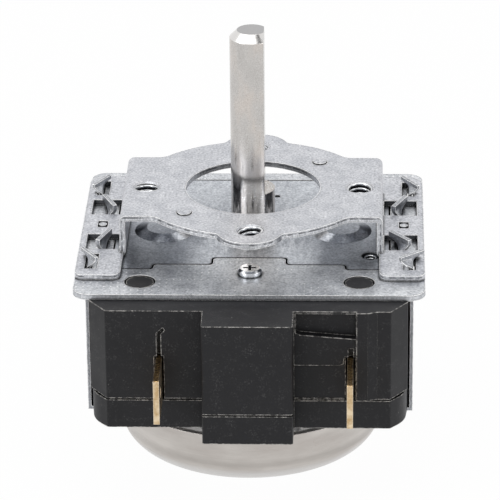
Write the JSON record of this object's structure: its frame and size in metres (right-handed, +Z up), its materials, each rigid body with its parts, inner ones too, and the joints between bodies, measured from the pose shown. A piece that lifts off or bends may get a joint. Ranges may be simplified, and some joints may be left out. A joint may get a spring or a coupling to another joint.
{
  "type": "cooker timer",
  "caption": "Mechanical cooker timer with a D-shaped spindle, a folded fixing bracket, a moulded housing with blade terminals and a bell cup below.",
  "frame": {"origin": "on the spindle's axis, in the top face of the mounting bracket, where it meets the panel", "axes": "+Z up along the spindle towards the knob, -Y towards the terminals, +X to the right seen from the terminals"},
  "size_m": [0.0468, 0.0534, 0.0599],
  "materials": {
    "galvanised_steel": "dull zinc-plated sheet",
    "movement_steel": "satin zinc-plated sheet",
    "nickel_steel": "satin nickel plate",
    "screw_steel": "zinc plate",
    "black_moulding": "matt phenolic moulding",
    "brass": "satin",
    "contact_bronze": "satin",
    "contact_silver": "satin",
    "spring_steel": "dark spring strip",
    "arbor_steel": "polished",
    "cam_moulding": "matt moulding",
    "bell_steel": "satin spun cup"
  },
  "bodies": {
    "frame": {"mounting_bracket": "galvanised_steel", "top_plate": "galvanised_steel", "movement_plate": "movement_steel", "movement_frame": "galvanised_steel", "side_frame": "galvanised_steel", "plate_screw": "screw_steel", "housing_body": "black_moulding", "housing_cover": "black_moulding", "terminal_left": "brass", "terminal_right": "brass", "fixed_contact": "brass", "fixed_contact_rivet": "contact_silver", "mainspring": "spring_steel", "spring_post": "screw_steel", "plate_pillars": "screw_steel", "bell": "bell_steel", "bell_post": "screw_steel", "bell_screw": "screw_steel", "hammer_stud": "screw_steel"},
    "spindle": {"spindle": "nickel_steel", "main_wheel": "brass", "switch_cam": "cam_moulding"},
    "second": {"second_pinion": "arbor_steel", "second_wheel": "brass"},
    "third": {"third_pinion": "arbor_steel", "third_wheel": "brass"},
    "escape": {"escape_pinion": "arbor_steel", "escape_wheel": "brass"},
    "balance": {"balance_staff": "arbor_steel", "balance_bar": "brass"},
    "contact": {"contact_leaf": "contact_bronze", "moving_contact_rivet": "contact_silver"},
    "hammer": {"hammer_arm": "screw_steel", "hammer_head": "screw_steel"}
  },
  "joints": [
    {"name": "spindle_turn", "type": "hinge", "parent": "frame", "child": "spindle", "pos_m": [0, 0, -0.01], "axis": [0, 0, 1], "range_deg": [-330, 0]},
    {"name": "second_turn", "type": "hinge", "parent": "frame", "child": "second", "pos_m": [-0.01016, 0.00586, -0.01], "axis": [0, 0, 1], "range_deg": [0, 1980]},
    {"name": "third_turn", "type": "hinge", "parent": "frame", "child": "third", "pos_m": [-0.00302, 0.01144, -0.01], "axis": [0, 0, 1], "range_deg": [-9900, 0]},
    {"name": "escape_turn", "type": "hinge", "parent": "frame", "child": "escape", "pos_m": [0.00303, 0.01102, -0.01], "axis": [0, 0, 1], "range_deg": [0, 49500]},
    {"name": "balance_swing", "type": "hinge", "parent": "frame", "child": "balance", "pos_m": [0.0089, 0.00977, -0.01], "axis": [0, 0, 1], "range_deg": [-12, 12]},
    {"name": "contact_close", "type": "hinge", "parent": "frame", "child": "contact", "pos_m": [0.0126, -0.00825, -0.0202], "axis": [0, 0, 1], "range_deg": [0, 1.9], "stiffness_Nm_per_rad": 0.02},
    {"name": "hammer_strike", "type": "hinge", "parent": "frame", "child": "hammer", "pos_m": [0.011, 0.008, -0.0258], "axis": [0, 0, 1], "range_deg": [-5, 0], "stiffness_Nm_per_rad": 0.01}
  ],
  "couplings": [
    {"joint": "second_turn", "follows": "spindle_turn", "ratio": -6},
    {"joint": "third_turn", "follows": "spindle_turn", "ratio": 30},
    {"joint": "escape_turn", "follows": "spindle_turn", "ratio": -150}
  ]
}
